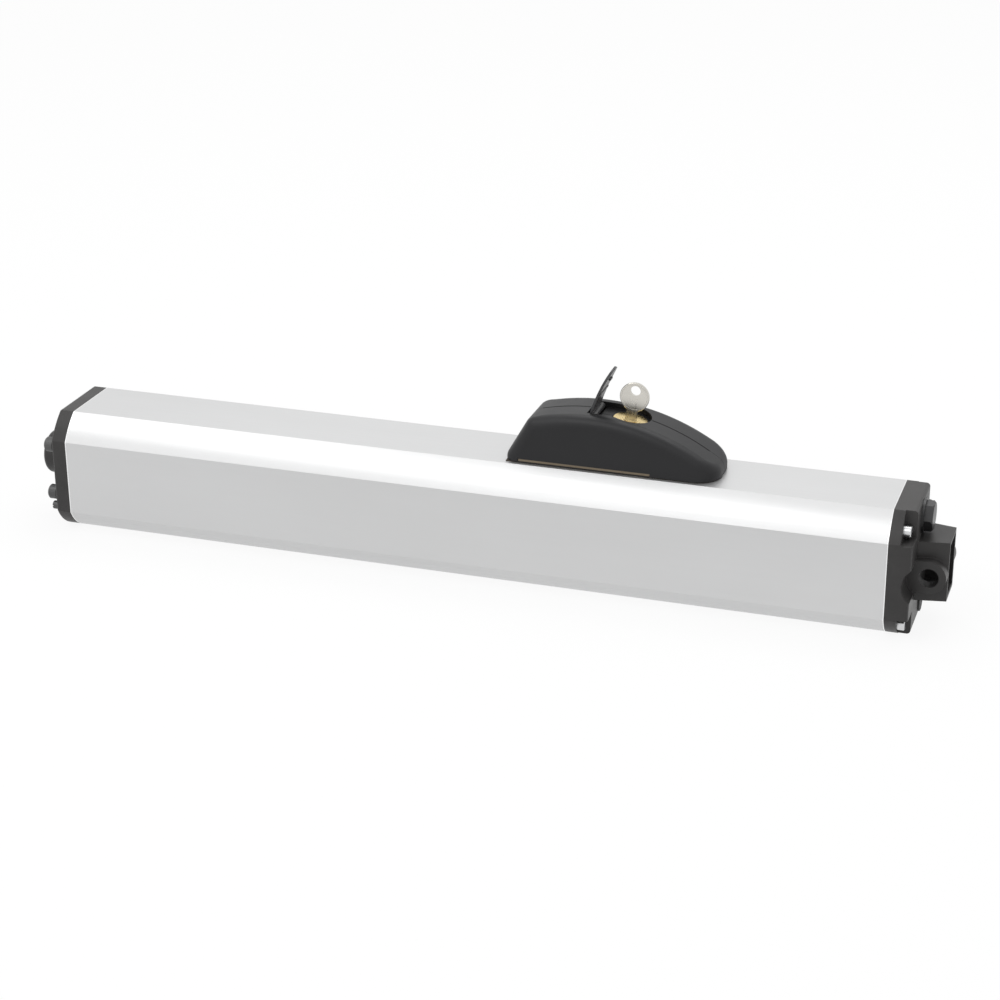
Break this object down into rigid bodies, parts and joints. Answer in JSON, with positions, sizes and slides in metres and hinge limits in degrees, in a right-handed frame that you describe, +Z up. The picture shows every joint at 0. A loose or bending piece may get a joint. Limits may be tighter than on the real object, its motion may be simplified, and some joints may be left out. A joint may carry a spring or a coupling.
{
  "type": "hydraulic swing gate opener",
  "caption": "Hydraulic swing gate opener: silver tank profile with dark end caps, gland with retracted rod, rear pin eye, and a release cover with open flap and key in its lock.",
  "frame": {"origin": "centre of the part's bounding box in X and Y, on the flat lower face of the tank", "axes": "+X from the rod end to the rear pin eye, +Z up out of the face that carries the cover"},
  "size_m": [0.808, 0.103, 0.189],
  "materials": {
    "anodised_aluminium": "satin",
    "cap_paint": "satin",
    "cover_plastic": "matte",
    "flap_plastic": "matte",
    "zinc_steel": "satin",
    "dark_steel": "satin",
    "black_steel": "satin",
    "ground_steel": "polished",
    "hard_chrome": "polished",
    "lock_brass": "satin",
    "bush_brass": "satin",
    "key_nickel": "polished",
    "seal_rubber": "matte",
    "gasket_rubber": "matte",
    "cast_aluminium": "matte",
    "laminated_steel": "satin",
    "winding_copper": "gloss",
    "lead_rubber": "matte",
    "seal_polymer": "matte"
  },
  "bodies": {
    "root": {"body_profile": "anodised_aluminium", "front_cap": "cap_paint", "front_cap_seal": "seal_rubber", "rod_wiper": "seal_rubber", "rod_guide_bush": "bush_brass", "rod_seal": "seal_polymer", "vent_screw": "dark_steel", "tie_bolts": "dark_steel", "cylinder_tube": "ground_steel", "valve_block": "cast_aluminium", "block_gasket": "gasket_rubber", "block_screws": "zinc_steel", "pressure_pipe": "ground_steel", "suction_strainer": "zinc_steel", "relief_springs": "ground_steel", "relief_balls": "hard_chrome", "pump_body": "cast_aluminium", "pump_cover": "ground_steel", "bearing_outer_rings": "ground_steel", "bearing_balls": "hard_chrome", "motor_front_shield": "cast_aluminium", "motor_rear_shield": "cast_aluminium", "stator_core": "laminated_steel", "stator_windings": "winding_copper", "motor_bolts": "zinc_steel", "motor_lead": "lead_rubber", "rear_cap": "cap_paint", "rear_cap_seal": "seal_rubber", "rear_cap_screws": "zinc_steel", "filler_washer": "black_steel", "filler_plug": "black_steel", "cable_grommet": "seal_rubber", "cover_front_half": "cover_plastic", "cover_rear_half": "cover_plastic", "cover_screws": "zinc_steel", "cover_base_plate": "zinc_steel", "cover_gasket": "gasket_rubber", "flap_hinge_pin": "zinc_steel", "lock_body": "lock_brass", "lock_nut": "zinc_steel", "release_bush": "bush_brass"},
    "rod": {"piston_rod": "hard_chrome", "piston": "cast_aluminium", "piston_seals": "seal_polymer", "piston_nut": "zinc_steel"},
    "motor_rotor": {"rotor_shaft": "ground_steel", "rotor_core": "laminated_steel", "bearing_inner_rings": "ground_steel", "drive_gear": "ground_steel"},
    "idle_gear": {"driven_gear": "ground_steel"},
    "opening_screw": {"bypass_screw_opening": "bush_brass"},
    "closing_screw": {"bypass_screw_closing": "bush_brass"},
    "lid": {"flap": "flap_plastic"},
    "plug": {"lock_plug": "lock_brass"},
    "key_body": {"key": "key_nickel"},
    "spindle": {"release_spindle": "ground_steel", "release_needle": "ground_steel"}
  },
  "joints": [
    {"name": "rod_stroke", "type": "slide", "parent": "root", "child": "rod", "axis": [-1, 0, 0], "range_m": [0, 0.35]},
    {"name": "motor_spin", "type": "hinge", "parent": "root", "child": "motor_rotor", "pos_m": [0.26, 0, 0.0535], "axis": [1, 0, 0], "continuous": true},
    {"name": "gear_spin", "type": "hinge", "parent": "root", "child": "idle_gear", "pos_m": [0.19, 0, 0.0295], "axis": [1, 0, 0], "continuous": true},
    {"name": "opening_force", "type": "hinge", "parent": "root", "child": "opening_screw", "pos_m": [0.1, -0.012, 0.112], "axis": [0, 0, 1], "range_deg": [-360, 360]},
    {"name": "closing_force", "type": "hinge", "parent": "root", "child": "closing_screw", "pos_m": [0.1, 0.012, 0.112], "axis": [0, 0, 1], "range_deg": [-360, 360]},
    {"name": "lid_swing", "type": "hinge", "parent": "root", "child": "lid", "pos_m": [0.1075, 0, 0.1492], "axis": [0, 1, 0], "range_deg": [0, 73.5]},
    {"name": "lock_turn", "type": "hinge", "parent": "root", "child": "plug", "pos_m": [0.136, 0, 0.14512], "axis": [0.1564, 0, 0.9877], "range_deg": [0, 90]},
    {"name": "key_pull", "type": "slide", "parent": "plug", "child": "key_body", "axis": [0.1564, 0, 0.9877], "range_m": [0, 0.19]},
    {"name": "spindle_turn", "type": "hinge", "parent": "root", "child": "spindle", "pos_m": [0.12974, 0, 0.10561], "axis": [0.1564, 0, 0.9877], "range_deg": [0, 90]}
  ],
  "couplings": [
    {"joint": "gear_spin", "follows": "motor_spin", "ratio": -1},
    {"joint": "spindle_turn", "follows": "lock_turn", "ratio": 1},
    {"joint": "lid_swing", "follows": "key_pull", "rad_per_m": 6.7517}
  ]
}
